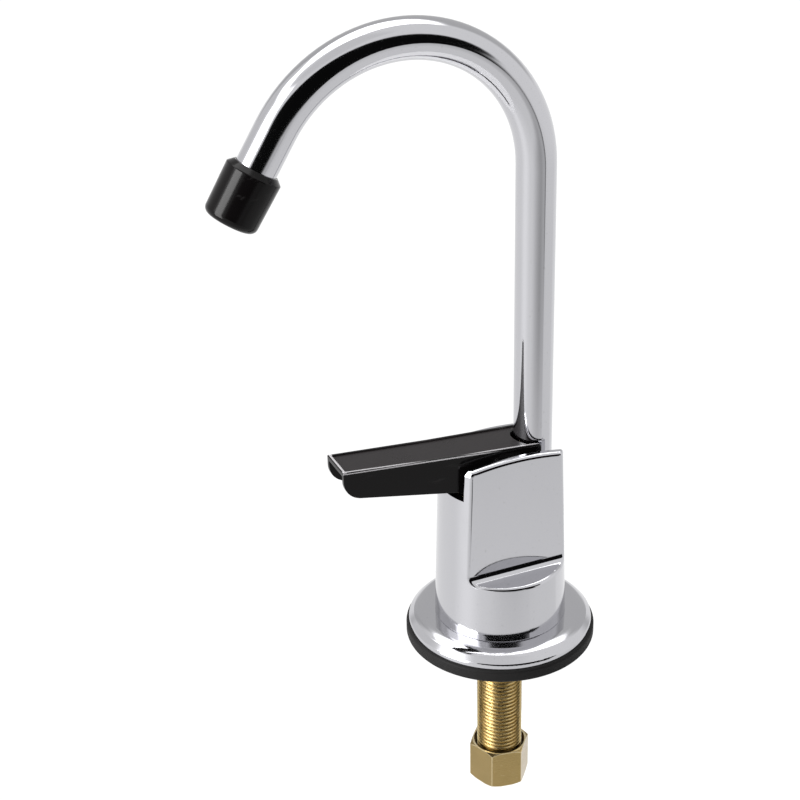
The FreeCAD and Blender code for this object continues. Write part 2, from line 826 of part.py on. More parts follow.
def make_valve():
    turned("valve_seat", [
        (size.seat_bore_radius, 0.0),
        (size.seat_radius, 0.0),
        (size.seat_radius, size.seat_height),
        (size.seat_rim_radius, size.seat_height),
        (size.seat_bore_radius + size.loose_clearance, size.seat_height + size.seat_rim_height),
        (size.seat_bore_radius, size.seat_height + size.seat_rim_height),
    ], y=valve_y, z=seat_bottom)
    screw_hole = size.disc_screw_radius + size.running_clearance
    turned("seat_washer", [
        (screw_hole, 0.0),
        (size.disc_radius, 0.0),
        (size.disc_radius, size.disc_thickness),
        (screw_hole, size.disc_thickness),
    ], y=valve_y, z=seat_top)
    turned("seat_washer_screw", [
        (0.0, -size.disc_screw_head_height),
        (size.disc_screw_head_radius, -size.disc_screw_head_height),
        (size.disc_screw_head_radius, 0.0),
        (size.disc_screw_radius, 0.0),
        (size.disc_screw_radius, size.disc_screw_length),
        (0.0, size.disc_screw_length),
    ], y=valve_y, z=seat_top)
    make_valve_stem()
    make_return_spring()
    make_bonnet()


def make_valve_stem():
    body = new_body("valve_stem")
    place(body, y=valve_y)
    section = new_sketch(body, "stem_section", "XZ_Plane")
    cup = size.disc_radius + size.seat_gap
    hole = size.disc_screw_radius + size.running_clearance
    hole_top = seat_top + size.disc_screw_length + size.loose_clearance
    tongue_top = size.pin_height + size.tongue_rise
    draw_outline(section, [
        (cup, holder_bottom),
        (size.disc_holder_radius, holder_bottom),
        (size.disc_holder_radius, holder_top),
        (size.stem_radius, holder_top),
        (size.stem_radius, tongue_top),
        (0.0, tongue_top),
        (0.0, hole_top),
        (hole, hole_top),
        (hole, disc_top),
        (cup, disc_top),
    ])
    revolve(body, "stem_turn", section)
    sides = new_sketch(body, "tongue_sketch", "YZ_Plane")
    shoulder = bonnet_top - size.loose_clearance
    high = tongue_top + size.loose_clearance
    for side in (1.0, -1.0):
        draw_outline(sides, [
            (size.tongue_thickness / 2 * side, shoulder),
            (size.disc_holder_radius * side, shoulder),
            (size.disc_holder_radius * side, high),
            (size.tongue_thickness / 2 * side, high),
        ])
    pocket(body, "tongue_flats", sides, size.disc_holder_radius * 2, both_ways=True)
    def top_edge(edge, middle):
        return abs(middle.z - tongue_top.value) < NEAR and runs_across(edge)
    round_edges(body, "tongue_rounding", size.tongue_rounding, top_edge)
    eye = new_sketch(body, "pin_hole_sketch", "YZ_Plane")
    draw_circle(eye, size.pin_radius + size.running_clearance, 0.0, size.pin_height)
    pocket(body, "pin_hole", eye, size.disc_holder_radius * 2, both_ways=True)
    return keep(body, "valve_stem")


def make_return_spring():
    """A compression spring between the stem's washer holder and the bonnet."""
    body = new_body("return_spring")
    place(body, y=valve_y)
    wire = new_sketch(body, "spring_wire", "XZ_Plane")
    start = holder_top + size.spring_wire_radius + size.seat_gap
    stop = bonnet_bottom - size.spring_wire_radius - size.seat_gap
    draw_circle(wire, size.spring_wire_radius, size.spring_radius, start)
    coil = profile_feature(body, "AdditiveHelix", "spring_coil", wire)
    coil.ReferenceAxis = (wire, ["V_Axis"])
    coil.Mode = "height-turns-angle"
    bind(coil, "Height", stop - start)
    bind(coil, "Turns", size.spring_turns)
    doc.recompute()
    return keep(body, "return_spring")


def make_bonnet():
    across_corners = size.bonnet_flat_width / math.cos(math.pi / HEXAGON_SIDES)
    head = doc.addObject("Part::Prism", "bonnet_head")
    head.Polygon = HEXAGON_SIDES
    bind(head, "Circumradius", across_corners / 2)
    bind(head, "Height", size.bonnet_head_height)
    place(head, y=valve_y, z=bonnet_head_bottom)
    thread = cylinder("bonnet_thread", size.bonnet_thread_radius, bonnet_head_bottom - bonnet_bottom,
                      y=valve_y, z=bonnet_bottom)
    bore = cylinder("bonnet_bore", size.stem_radius + size.running_clearance, bonnet_top - bonnet_bottom,
                    y=valve_y, z=bonnet_bottom)
    gland = cylinder("bonnet_gland", size.gland_radius, size.gland_height, y=valve_y,
                     z=bonnet_head_bottom + size.gland_rise)
    solid = fuse("bonnet_solid", head, thread)
    keep(cut("bonnet_nut", solid, fuse("bonnet_holes", bore, gland)), "bonnet_nut")
    washer_hole = size.bonnet_thread_radius + size.running_clearance
    turned("bonnet_washer", [
        (washer_hole, 0.0),
        (size.bonnet_washer_radius, 0.0),
        (size.bonnet_washer_radius, size.bonnet_washer_thickness),
        (washer_hole, size.bonnet_washer_thickness),
    ], y=valve_y, z=tower_top)
    ring = size.stem_radius + size.running_clearance + size.gland_seal_radius
    seal = torus("stem_o_ring", ring, size.gland_seal_radius, y=valve_y,
                 z=bonnet_head_bottom + size.gland_rise + size.gland_height / 2)
    keep(seal, "stem_o_ring")


# Spout: bent tube, tip, end fitting, seals, retaining ring and washer


def make_spout_tube():
    body = new_body("spout_tube")
    place(body)
    spine = new_sketch(body, "spout_path", "YZ_Plane")
    centre_y = riser_y - size.bend_radius
    end_y = centre_y + size.bend_radius * cosine(size.bend_angle)
    end_z = size.bend_height + size.bend_radius * sine(size.bend_angle)
    mouth_y = end_y - size.outlet_run * sine(size.bend_angle)
    mouth_z = end_z + size.outlet_run * cosine(size.bend_angle)
    points = [(riser_y, riser_bottom), (riser_y, size.bend_height), (end_y, end_z), (mouth_y, mouth_z)]
    vectors = [Vector(as_measure(y).value, as_measure(z).value, 0) for y, z in points]
    arc = Part.Circle(Vector(centre_y.value, size.bend_height.value, 0), Vector(0, 0, 1), size.bend_radius.value)
    spine.addGeometry(Part.LineSegment(vectors[0], vectors[1]))
    spine.addGeometry(Part.ArcOfCircle(arc, 0.0, math.radians(size.bend_angle.value)))
    spine.addGeometry(Part.LineSegment(vectors[2], vectors[3]))
    spine.addConstraint(Sketcher.Constraint("Coincident", 0, 2, 1, 1))
    spine.addConstraint(Sketcher.Constraint("Coincident", 1, 2, 2, 1))
    fix_point(spine, 0, 1, *points[0])
    fix_point(spine, 1, 3, centre_y, size.bend_height)
    fix_point(spine, 0, 2, *points[1])
    fix_side(spine, 2, points[2][0])
    fix_point(spine, 2, 2, *points[3])
    ring = new_sketch(body, "tube_section", "XY_Plane")
    bind(ring, ".AttachmentOffset.Base.z", riser_bottom)
    draw_circle(ring, size.tube_radius, 0.0, riser_y)
    draw_circle(ring, size.tube_radius - size.tube_wall, 0.0, riser_y)
    sweep = profile_feature(body, "AdditivePipe", "tube_sweep", ring)
    sweep.Spine = (spine, ["Edge1", "Edge2", "Edge3"])
    doc.recompute()
    return keep(body, "spout_tube")


def make_spout_tip():
    """The black end cap, turned about the tube's outlet axis and then tilted into place."""
    cap_bore = size.tube_radius + size.running_clearance
    stop = size.outlet_run - size.tip_start
    body = new_body("spout_tip")
    section = new_sketch(body, "tip_section", "XZ_Plane")
    shoulder = size.tip_top_radius - size.tip_chamfer_width
    draw_outline(section, [
        (cap_bore, 0.0),
        (shoulder + size.loose_clearance, 0.0),
        (size.tip_top_radius, -size.tip_chamfer_height),
        (size.tip_bottom_radius, -size.tip_length),
        (size.tip_mouth_radius, -size.tip_length),
        (size.tip_mouth_radius, -stop),
        (cap_bore, -stop),
    ])
    revolve(body, "tip_turn", section)
    round_edges(body, "tip_rounding", size.tip_rounding, on_circle(size.tip_bottom_radius, -size.tip_length))
    round_edges(body, "tip_shoulder_rounding", size.tip_rounding / 4,
                on_circle(size.tip_top_radius, -size.tip_chamfer_height))
    tilt = FULL_TURN / 2 - size.bend_angle
    start_y = riser_y - size.bend_radius + size.bend_radius * cosine(size.bend_angle)
    start_z = size.bend_height + size.bend_radius * sine(size.bend_angle)
    top_y = start_y - size.tip_start * sine(size.bend_angle)
    top_z = start_z + size.tip_start * cosine(size.bend_angle)
    body.Placement = Placement(Vector(0, 0, 0), Rotation(Vector(-1, 0, 0), tilt.value))
    place(body, 0.0, top_y, top_z)
    bind(body, ".Placement.Rotation.Angle", tilt)
    return keep(body, "spout_tip")


def make_spout_fitting():
    groove = size.stub_radius - size.seal_section_radius * 2
    snap_groove = size.stub_radius - size.snap_groove_depth
    half_seal = size.seal_groove_width / 2
    outline = [(size.stub_bore_radius, 0.0), (size.stub_radius, 0.0)]
    for middle in (size.lower_seal_rise, size.upper_seal_rise):
        outline += [
            (size.stub_radius, middle - half_seal),
            (groove, middle - half_seal),
            (groove, middle + half_seal),
            (size.stub_radius, middle + half_seal),
        ]
    low = size.snap_ring_rise - size.running_clearance
    high = size.snap_ring_rise + size.snap_ring_thickness + size.running_clearance
    outline += [
        (size.stub_radius, low),
        (snap_groove, low),
        (snap_groove, high),
        (size.stub_radius, high),
        (size.stub_radius, size.stub_length),
        (size.stub_bore_radius, size.stub_length),
    ]
    turned("spout_end_fitting", outline, y=riser_y, z=stub_bottom)
    ring = groove + size.running_clearance + size.seal_section_radius
    for node, middle in (("spout_o_ring_lower", size.lower_seal_rise), ("spout_o_ring_upper", size.upper_seal_rise)):
        seal = torus(node, ring, size.seal_section_radius, y=riser_y, z=stub_bottom + middle)
        keep(seal, node)
    make_snap_ring(snap_groove)
    inner = size.stub_radius + size.running_clearance * 2
    turned("spout_washer", [
        (inner, 0.0),
        (socket_column_radius, 0.0),
        (socket_column_radius, size.spout_washer_thickness),
        (inner, size.spout_washer_thickness),
    ], y=riser_y, z=tower_top)


def make_snap_ring(groove):
    inner = groove + size.running_clearance
    outer = inner + size.snap_ring_width
    height = size.snap_ring_thickness
    ring = cylinder("snap_ring_disc", outer, height, y=riser_y, z=snap_ring_bottom())
    hole = cylinder("snap_ring_hole", inner, height, y=riser_y, z=snap_ring_bottom())
    gap = box("snap_ring_gap", size.snap_ring_gap / 2, riser_y - outer, riser_y, snap_ring_bottom(),
              snap_ring_bottom() + height)
    keep(cut("spout_snap_ring", ring, fuse("snap_ring_cuts", hole, gap)), "spout_snap_ring")


# Lever: an open channel with ears beside the riser and two lobes about the stem


def lever_line(y, lift=0.0):
    """Height of the lever's top line at a place along Y, straight from the heel to the tip."""
    run = size.lever_tip + size.lever_heel
    rise = size.lever_tip_height - size.lever_heel_height
    return size.lever_heel_height + rise * (size.lever_heel - y) / run + lift


def lever_side_points():
    """Corners of the lever's side view, from the tip along the top and back below."""
    tip = -size.lever_tip
    ear_end = size.lever_heel
    middle = (tip + ear_end) / 2
    foot = bonnet_top + size.loose_clearance
    return [
        (tip, lever_line(tip)),
        (middle, lever_line(middle, -size.lever_sag)),
        (ear_end, lever_line(ear_end)),
        (ear_end, size.ear_bottom_height),
        (valve_y + size.lobe_top_reach, size.ear_bottom_height),
        (valve_y + size.lobe_rear_reach, foot),
        (valve_y - size.lobe_front_reach, foot),
        (-size.flange_rear, size.flange_rear_height),
        (tip, lever_line(tip) - size.flange_tip_depth),
    ]


def make_lever():
    body = new_body("lever")
    place(body)
    side = new_sketch(body, "lever_side", "YZ_Plane")
    draw_outline(side, lever_side_points())
    extrude(body, "Pad", "lever_block", side, size.lever_heel_half_width * 2, both_ways=True)
    taper_lever(body)
    round_lever_corners(body)
    dish_lever(body)
    round_lip(body)
    hollow_lever(body)
    notch_lever(body)
    bore_lever(body)
    return keep(body, "lever")


def taper_lever(body):
    """In plan the lever narrows from the heel to the tip."""
    sketch = new_sketch(body, "lever_taper_sketch", "XY_Plane")
    bind(sketch, ".AttachmentOffset.Base.z", bonnet_top)
    tip = -size.lever_tip
    beyond = size.loose_clearance
    for side in (1.0, -1.0):
        draw_outline(sketch, [
            (size.lever_tip_half_width * side, tip),
            ((size.lever_heel_half_width + beyond) * side, tip),
            ((size.lever_heel_half_width + beyond) * side, size.lever_heel),
            (size.lever_heel_half_width * side, size.lever_heel),
        ])
    pocket(body, "lever_taper", sketch, OVERSHOOT, backwards=True)


def lever_half_width(y):
    run = size.lever_tip + size.lever_heel
    spread = size.lever_heel_half_width - size.lever_tip_half_width
    return size.lever_tip_half_width + spread * (size.lever_tip + y) / run


def dish_lever(body):
    """The top is sunk a little, which leaves a lip along both sides and round the tip."""
    front = size.lip_width - size.lever_tip
    middle = (size.lever_heel - size.lever_tip) / 2
    back = size.lever_heel + size.loose_clearance
    sections = []
    for word, y, sag in (("front", front, 0.0), ("middle", middle, size.lever_sag), ("back", back, 0.0)):
        sketch = new_sketch(body, "dish_" + word, "XZ_Plane")
        bind(sketch, ".AttachmentOffset.Base.z", -y)
        half = lever_half_width(y) - size.lip_width
        floor = lever_line(y) - sag - size.lip_height
        ceiling = floor + size.lip_height + size.lever_plate_thickness
        draw_outline(sketch, [(-half, floor), (half, floor), (half, ceiling), (-half, ceiling)])
        sections.append(sketch)
    doc.recompute()
    before = solid_volume(body)
    dish = profile_feature(body, "SubtractiveLoft", "lever_dish", sections[0])
    dish.Sections = sections[1:]
    dish.Ruled = True
    doc.recompute()
    if before - solid_volume(body) < NEAR:
        raise ValueError("the dish cuts nothing")


def round_lever_corners(body):
    tip = -size.lever_tip.value
    heel = size.lever_heel.value
    def front_corner(edge, middle):
        return abs(middle.y - tip) < NEAR and middle.z < size.lever_tip_height.value - NEAR and runs_across(edge)
    def heel_corner(edge, middle):
        return abs(middle.y - heel) < NEAR and runs_across(edge)
    round_edges(body, "flange_rounding", size.flange_front_rounding, front_corner)
    round_edges(body, "ear_rounding", size.ear_corner_rounding, heel_corner)


def round_lip(body):
    """Rounds both edges of the lip: the outer one all round, the inner one along the dish."""
    tip = -size.lever_tip.value
    lip = size.lip_width.value
    def lip_edge(edge, middle, inset):
        near_line = abs(middle.z - lever_line(middle.y).value) < size.lip_height.value / 2
        at_side = abs(abs(middle.x) - lever_half_width(middle.y).value + inset) < NEAR
        return near_line and (at_side or abs(middle.y - tip - inset) < NEAR)
    round_edges(body, "lip_rounding", size.lever_edge_rounding,
                lambda edge, middle: lip_edge(edge, middle, 0.0))
    round_edges(body, "lip_inner_round", size.lip_inner_rounding,
                lambda edge, middle: lip_edge(edge, middle, lip))


def runs_across(edge):
    return abs(edge.tangentAt(edge.FirstParameter).x) > 0.99


def hollow_lever(body):
    """The channel below the plate, with a gap between the two lobes for the stem."""
    tip = -size.lever_tip
    under = -size.lever_plate_thickness
    middle = (tip + size.lever_heel) / 2
    lobe_front = valve_y - size.lobe_front_reach - size.lobe_rear_reach
    lobe_rear = valve_y + size.lobe_top_reach
    channel = new_sketch(body, "channel_sketch", "YZ_Plane")
    draw_outline(channel, [
        (tip - size.loose_clearance, lever_line(tip, under)),
        (middle, lever_line(middle, under - size.lever_sag)),
        (lobe_front, lever_line(lobe_front, under - size.lever_sag / 2)),
        (lobe_front, body_bottom + size.tower_height),
        (tip - size.loose_clearance, body_bottom + size.tower_height),
    ])
    pocket(body, "channel_cut", channel, size.lever_channel_half_width * 2, both_ways=True)
    stem_gap = new_sketch(body, "stem_gap_sketch", "YZ_Plane")
    draw_outline(stem_gap, [
        (lobe_front - size.loose_clearance, lever_line(lobe_front, under - size.lever_sag / 2)),
        (size.lever_heel + size.loose_clearance, lever_line(size.lever_heel, under)),
        (size.lever_heel + size.loose_clearance, tower_top),
        (lobe_front - size.loose_clearance, tower_top),
    ])
    pocket(body, "stem_gap_cut", stem_gap, size.lobe_gap_half_width * 2, both_ways=True)
    behind = new_sketch(body, "behind_lobe_sketch", "YZ_Plane")
    draw_outline(behind, [
        (lobe_rear, lever_line(lobe_rear, under - size.lever_sag / 3)),
        (size.lever_heel + size.loose_clearance, lever_line(size.lever_heel, under)),
        (size.lever_heel + size.loose_clearance, tower_top),
        (lobe_rear, tower_top),
    ])
    pocket(body, "behind_lobe_cut", behind, size.lever_channel_half_width * 2, both_ways=True)


def notch_lever(body):
    """The plate is cut back round the riser, and the ears are thinned beside it."""
    notch = new_sketch(body, "notch_sketch", "XY_Plane")
    bind(notch, ".AttachmentOffset.Base.z", bonnet_top)
    draw_circle(notch, size.tube_radius + size.notch_gap, 0.0, riser_y)
    relief = size.tube_radius + size.loose_clearance
    pocket(body, "notch_cut", notch, OVERSHOOT, backwards=True)
    sides = new_sketch(body, "relief_sketch", "YZ_Plane")
    draw_outline(sides, [
        (size.ear_relief_start, tower_top),
        (size.lever_heel + size.loose_clearance, tower_top),
        (size.lever_heel + size.loose_clearance, lever_line(size.lever_heel, -size.lever_plate_thickness)),
        (size.ear_relief_start, lever_line(size.ear_relief_start, -size.lever_plate_thickness)),
    ])
    pocket(body, "relief_cut", sides, relief * 2, both_ways=True)


def bore_lever(body):
    hole = new_sketch(body, "lever_pin_sketch", "YZ_Plane")
    draw_circle(hole, size.pin_radius + size.running_clearance, valve_y, size.pin_height)
    pocket(body, "lever_pin_hole", hole, size.lever_heel_half_width * 4, both_ways=True)


def make_lever_pin():
    pin = cylinder("lever_pin", size.pin_radius, size.pin_half_length * 2)
    pin.Placement = Placement(Vector(0, 0, 0), Rotation(Vector(0, 1, 0), 90.0))
    place(pin, -size.pin_half_length, valve_y, size.pin_height)
    keep(pin, "lever_pin")


# Shank, its washer, the body screws and the compression fitting


def make_shank():
    body = turned("shank", [
        (size.supply_radius, shank_bottom),
        (size.shank_radius, shank_bottom),
        (size.shank_radius, shank_top),
        (size.shank_bore_radius, shank_top),
        (size.shank_bore_radius, shank_bottom + size.supply_depth),
        (size.supply_radius, shank_bottom + size.supply_depth),
    ])
    thread_shank(body)
    turned("shank_washer", [
        (size.plenum_radius, 0.0),
        (size.shank_radius, 0.0),
        (size.shank_radius, size.shank_washer_thickness),
        (size.plenum_radius, size.shank_washer_thickness),
    ], z=shank_top)


def thread_shank(body):
    """Ring grooves stand for the thread, from inside the nut up into the gasket."""
    start = nut_top - size.thread_pitch * 2
    stop = start + size.thread_pitch - size.thread_flat
    slope = (size.thread_pitch - size.thread_flat * 2) / 2
    outside = size.shank_radius + size.loose_clearance
    root_radius = size.shank_radius - size.thread_depth
    sketch = new_sketch(body, "thread_sketch", "XZ_Plane")
    draw_outline(sketch, [
        (outside, start),
        (size.shank_radius, start),
        (root_radius, start + slope),
        (root_radius, stop - slope),
        (size.shank_radius, stop),
        (outside, stop),
    ])
    groove = revolve(body, "thread_groove", sketch, "Groove")
    pattern = body.newObject("PartDesign::LinearPattern", "thread_rings")
    pattern.Originals = [groove]
    pattern.Direction = (sketch, ["V_Axis"])
    bind(pattern, "Length", size.thread_pitch * (size.thread_count - 1))
    pattern.Occurrences = round(size.thread_count.value)
    pattern.setExpression("Occurrences", size.thread_count.text)
    body.Tip = pattern
    doc.recompute()


def make_body_screws():
    """Two screws from below hold the shell to the valve body's foot."""
    screws = []
    head_top = body_bottom + size.screw_head_height
    length = size.foot_thickness - size.screw_head_height + size.screw_grip
    for side, word in ((1.0, "right"), (-1.0, "left")):
        x = size.screw_offset * side
        head = cylinder("screw_head_" + word, size.screw_head_radius, size.screw_head_height, x=x, z=body_bottom)
        shaft = cylinder("screw_shaft_" + word, size.screw_radius, length, x=x, z=head_top)
        screws.append(fuse("screw_" + word, head, shaft))
    keep(fuse("body_screws", *screws), "body_screws")


def make_compression_nut():
    prism = doc.addObject("Part::Prism", "nut_hexagon")
    prism.Polygon = HEXAGON_SIDES
    corner_radius = size.nut_flat_width / 2 / math.cos(math.pi / HEXAGON_SIDES)
    bind(prism, "Circumradius", corner_radius)
    bind(prism, "Height", size.nut_height)
    prism.Placement = Placement(Vector(0, 0, 0), Rotation(Vector(0, 0, 1), size.nut_turn.value))
    place(prism, z=nut_bottom)
    wide = size.nut_chamfer_radius + size.nut_height * CHAMFER_SLOPE
    top_cone = cone("nut_top_chamfer", wide, size.nut_chamfer_radius, size.nut_height, z=nut_bottom)
    bottom_cone = cone("nut_bottom_chamfer", size.nut_chamfer_radius, wide, size.nut_height, z=nut_bottom)
    solid = common("nut_solid", prism, top_cone, bottom_cone)
    web_top = nut_bottom + size.nut_web
    cone_height = sleeve_middle() - web_top
    seat = size.sleeve_end_radius + size.running_clearance * 4
    holes = fuse(
        "nut_holes",
        cylinder("nut_thread_hole", thread_wall, nut_top - sleeve_middle(), z=sleeve_middle()),
        cone("nut_seat_hole", seat, thread_wall, cone_height, z=web_top),
        cylinder("nut_tube_hole", size.supply_radius, size.nut_web, z=nut_bottom),
        cone("nut_countersink", thread_wall, size.nut_countersink_radius, size.nut_countersink_depth,
             z=nut_top - size.nut_countersink_depth),
    )
    keep(cut("compression_nut", solid, holes), "compression_nut")


def sleeve_middle():
    return (sleeve_bottom + shank_bottom) / 2


def make_compression_sleeve():
    turned("compression_sleeve", [
        (size.supply_radius, sleeve_bottom),
        (size.sleeve_end_radius, sleeve_bottom),
        (size.sleeve_radius, sleeve_middle()),
        (size.sleeve_end_radius, shank_bottom),
        (size.supply_radius, shank_bottom),
    ])


# The whole faucet, its checks and the files


def make_faucet():
    make_base_gasket()
    make_base_plate()
    make_body_shell()
    make_valve_body()
    make_valve()
    make_spout_tube()
    make_spout_tip()
    make_spout_fitting()
    make_lever()
    make_lever_pin()
    make_shank()
    make_body_screws()
    make_compression_nut()
    make_compression_sleeve()
    doc.recompute()


def check_document():
    for thing in doc.Objects:
        if "Invalid" in thing.State or "Error" in thing.State:
            raise ValueError("%s is %s" % (thing.Label, thing.State))
    for thing in subparts:
        if thing.Shape.isNull() or not thing.Shape.isValid():
            raise ValueError("%s has no valid shape" % thing.Label)


def write_files():
    os.makedirs("parts", exist_ok=True)
    for thing in subparts:
        thing.Shape.exportStep(os.path.join("parts", thing.Label + ".step"))


make_faucet()
check_document()
write_files()
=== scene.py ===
import json
import math

import bpy
from mathutils import Matrix, Vector


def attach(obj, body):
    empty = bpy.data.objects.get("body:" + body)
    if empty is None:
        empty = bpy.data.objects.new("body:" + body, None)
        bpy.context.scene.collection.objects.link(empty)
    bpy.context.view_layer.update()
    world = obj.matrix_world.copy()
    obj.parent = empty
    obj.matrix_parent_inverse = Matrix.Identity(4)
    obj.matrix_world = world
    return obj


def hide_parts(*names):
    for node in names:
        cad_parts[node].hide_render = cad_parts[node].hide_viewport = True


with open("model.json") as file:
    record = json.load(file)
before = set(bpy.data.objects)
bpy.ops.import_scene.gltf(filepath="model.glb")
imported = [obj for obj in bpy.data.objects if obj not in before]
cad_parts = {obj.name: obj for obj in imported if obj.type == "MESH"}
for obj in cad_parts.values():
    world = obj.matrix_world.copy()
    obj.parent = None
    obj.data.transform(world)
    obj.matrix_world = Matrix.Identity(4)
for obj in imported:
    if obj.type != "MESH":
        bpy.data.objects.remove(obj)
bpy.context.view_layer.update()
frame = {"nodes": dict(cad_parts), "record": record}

# The drinking water faucet, dressed for the photograph. Metres, +Z up, the lever points to -Y.

# Places on the faucet that the finishes and the thread need

DECK_LEVEL = 0.0
NUT_TOP = -0.044
LEVER_TIP = -0.0542
LEVER_TIP_LEVEL = 0.0739
LEVER_HEEL = 0.0104
LEVER_HEEL_LEVEL = 0.0689
LEVER_TIP_HALF_WIDTH = 0.0063
LEVER_HEEL_HALF_WIDTH = 0.00735
LEVER_WIDENING = (LEVER_HEEL_HALF_WIDTH - LEVER_TIP_HALF_WIDTH) / (LEVER_HEEL - LEVER_TIP)
LEVER_SLOPE = (LEVER_HEEL_LEVEL - LEVER_TIP_LEVEL) / (LEVER_HEEL - LEVER_TIP)
LIP_WIDTH = 0.0012

# Where the lever gets its painted highlight lines and its dust, as depths below its surfaces, and how soft
# each border is

SURFACE_START = -0.0004
SURFACE_END = 0.00022
SURFACE_SOFTNESS = 0.00005
LIP_HIGHLIGHT_START = 0.00028
LIP_HIGHLIGHT_END = 0.00115
LIP_HIGHLIGHT_SOFTNESS = 0.00008
EDGE_HIGHLIGHT_START = 0.00036
EDGE_HIGHLIGHT_END = 0.00068
EDGE_HIGHLIGHT_SOFTNESS = 0.00006
EDGE_HIGHLIGHT_LENGTH = 0.048
EDGE_HIGHLIGHT_FADE = 0.004
DUST_START = 0.0003
DUST_END = 0.0030
SHARP_STEP = 0.0001

# The camera, solved from the faucet's own edges in the photograph

CAMERA_PLACE = Vector((0.44277, -0.22175, 0.34013))
CAMERA_AZIMUTH = 66.91587
CAMERA_PITCH = 27.44196
CAMERA_ROLL = -1.349152
CAMERA_LENS = 83.1505
SENSOR_WIDTH = 36.0

# The studio: its floor, and how bright its walls and lamps are. Its parts are given by direction,
# in degrees: azimuth 0 is -Y and 90 is +X, elevation 0 is level and 90 is straight up

FLOOR_RADIUS = 0.25
FLOOR_LEVEL = -0.22
FLOOR_STEPS = 96
WALL_LIGHT = 1.0
BACKDROP_LIGHT = 1.06
DIFFUSER_LIGHT = 3.6
STRIP_LIGHT = 12.0

# By how much the walls are dimmer or brighter than plain in each part of the room

BEHIND_DIMMING = 0.36
LEFT_DIMMING = 0.14
RIGHT_DIMMING = 0.09
HIGH_DIMMING = 0.12
SHADE_DIMMING = 0.44
GLOW_BRIGHTENING = 0.20
DARK_SIDE_DIMMING = 0.996

# The dark side of the room, a tilted ellipse in azimuth and elevation

DARK_SIDE_AZIMUTH = 84.0
DARK_SIDE_ELEVATION = 15.7
DARK_SIDE_LENGTH = 49.2
DARK_SIDE_HEIGHT = 26.4
DARK_SIDE_TILT = -13.2


class Wire:
    """A node's output that takes part in sums, so that maths reads as plain expressions."""

    def __init__(self, board, socket):
        self.board = board
        self.socket = socket

    def maths(self, operation, first, second):
        return self.board.add("ShaderNodeMath", {"operation": operation}, {0: first, 1: second})

    def __add__(self, other):
        return self.maths("ADD", self, other)

    def __radd__(self, other):
        return self.maths("ADD", other, self)

    def __sub__(self, other):
        return self.maths("SUBTRACT", self, other)

    def __rsub__(self, other):
        return self.maths("SUBTRACT", other, self)

    def __mul__(self, other):
        return self.maths("MULTIPLY", self, other)

    def __rmul__(self, other):
        return self.maths("MULTIPLY", other, self)

    def __truediv__(self, other):
        return self.maths("DIVIDE", self, other)

    def __pow__(self, other):
        return self.maths("POWER", self, other)

    def larger(self, other):
        return self.maths("MAXIMUM", self, other)

    def between(self, low, high, softness):
        """1 from low to high and 0 outside, with soft edges."""
        return self.above(low, softness) * (1.0 - self.above(high, softness))

    def above(self, level, softness):
        """0 well below the level and 1 well above it, with a soft step between."""
        settings = {"interpolation_type": "SMOOTHSTEP"}
        values = {"Value": self, "From Min": level - softness, "From Max": level + softness}
        return self.board.add("ShaderNodeMapRange", settings, values)


class Board:
    """A node tree and the one way to add a node to it."""

    def __init__(self, tree):
        self.tree = tree
        self.tree.nodes.clear()

    def add(self, kind, settings, values, output=0):
        """Adds any node: its settings first, then the values or wires of its sockets."""
        node = self.tree.nodes.new(kind)
        for key, setting in settings.items():
            setattr(node, key, setting)
        for key, value in values.items():
            if isinstance(value, Wire):
                self.tree.links.new(value.socket, node.inputs[key])
            else:
                node.inputs[key].default_value = value
        return Wire(self, node.outputs[output]) if node.outputs else None


class Pattern(Board):
    """A shader tree whose patterns read one kind of coordinates."""

    def __init__(self, tree, coordinates):
        super().__init__(tree)
        self.place = self.add("ShaderNodeTexCoord", {}, {}, coordinates)

    def axis(self, name):
        return self.add("ShaderNodeSeparateXYZ", {}, {"Vector": self.place}, name)

    def mix(self, amount, first, second):
        settings = {"data_type": "RGBA", "blend_type": "MIX"}
        return self.add("ShaderNodeMix", settings, {"Factor": amount, 6: first, 7: second}, 2)


class Finish(Pattern):
    """A material made of one glossy shader and the patterns that drive it."""

    def __init__(self, name):
        self.material = bpy.data.materials.new(name)
        self.material.use_nodes = True
        super().__init__(self.material.node_tree, "Object")

    def noise(self, scale, detail=3.0, roughness=0.5, place=None):
        place = place or self.place
        values = {"Vector": place, "Scale": scale, "Detail": detail, "Roughness": roughness}
        return self.add("ShaderNodeTexNoise", {"noise_dimensions": "3D"}, values, "Fac")

    def stretched(self, x, y, z):
        """Object coordinates that are squeezed along some axes, for marks with a direction."""
        values = {"Vector": self.place, "Scale": (x, y, z)}
        return self.add("ShaderNodeMapping", {"vector_type": "POINT"}, values)

    def bump(self, height, strength, distance):
        values = {"Height": height, "Strength": strength, "Distance": distance}
        return self.add("ShaderNodeBump", {}, values)

    def edges(self, radius):
        """0 on plain faces and up to 1 on edges that stick out or turn in."""
        settings = {"samples": 6}
        soft = self.add("ShaderNodeBevel", settings, {"Radius": radius})
        plain = self.add("ShaderNodeNewGeometry", {}, {}, "Normal")
        match = self.add("ShaderNodeVectorMath", {"operation": "DOT_PRODUCT"}, {0: soft, 1: plain}, "Value")
        return (1.0 - match).above(0.03, 0.02)

    def close(self, constants, wires):
        """The shader itself: constants stay on its sockets, and what varies is wired."""
        shader = self.add("ShaderNodeBsdfPrincipled", {}, constants | wires)
        self.add("ShaderNodeOutputMaterial", {}, {"Surface": shader})
        return self.material


def colour(red, green, blue):
    return (red, green, blue, 1.0)


# Finishes: their colours, as linear red, green and blue, and how each is made

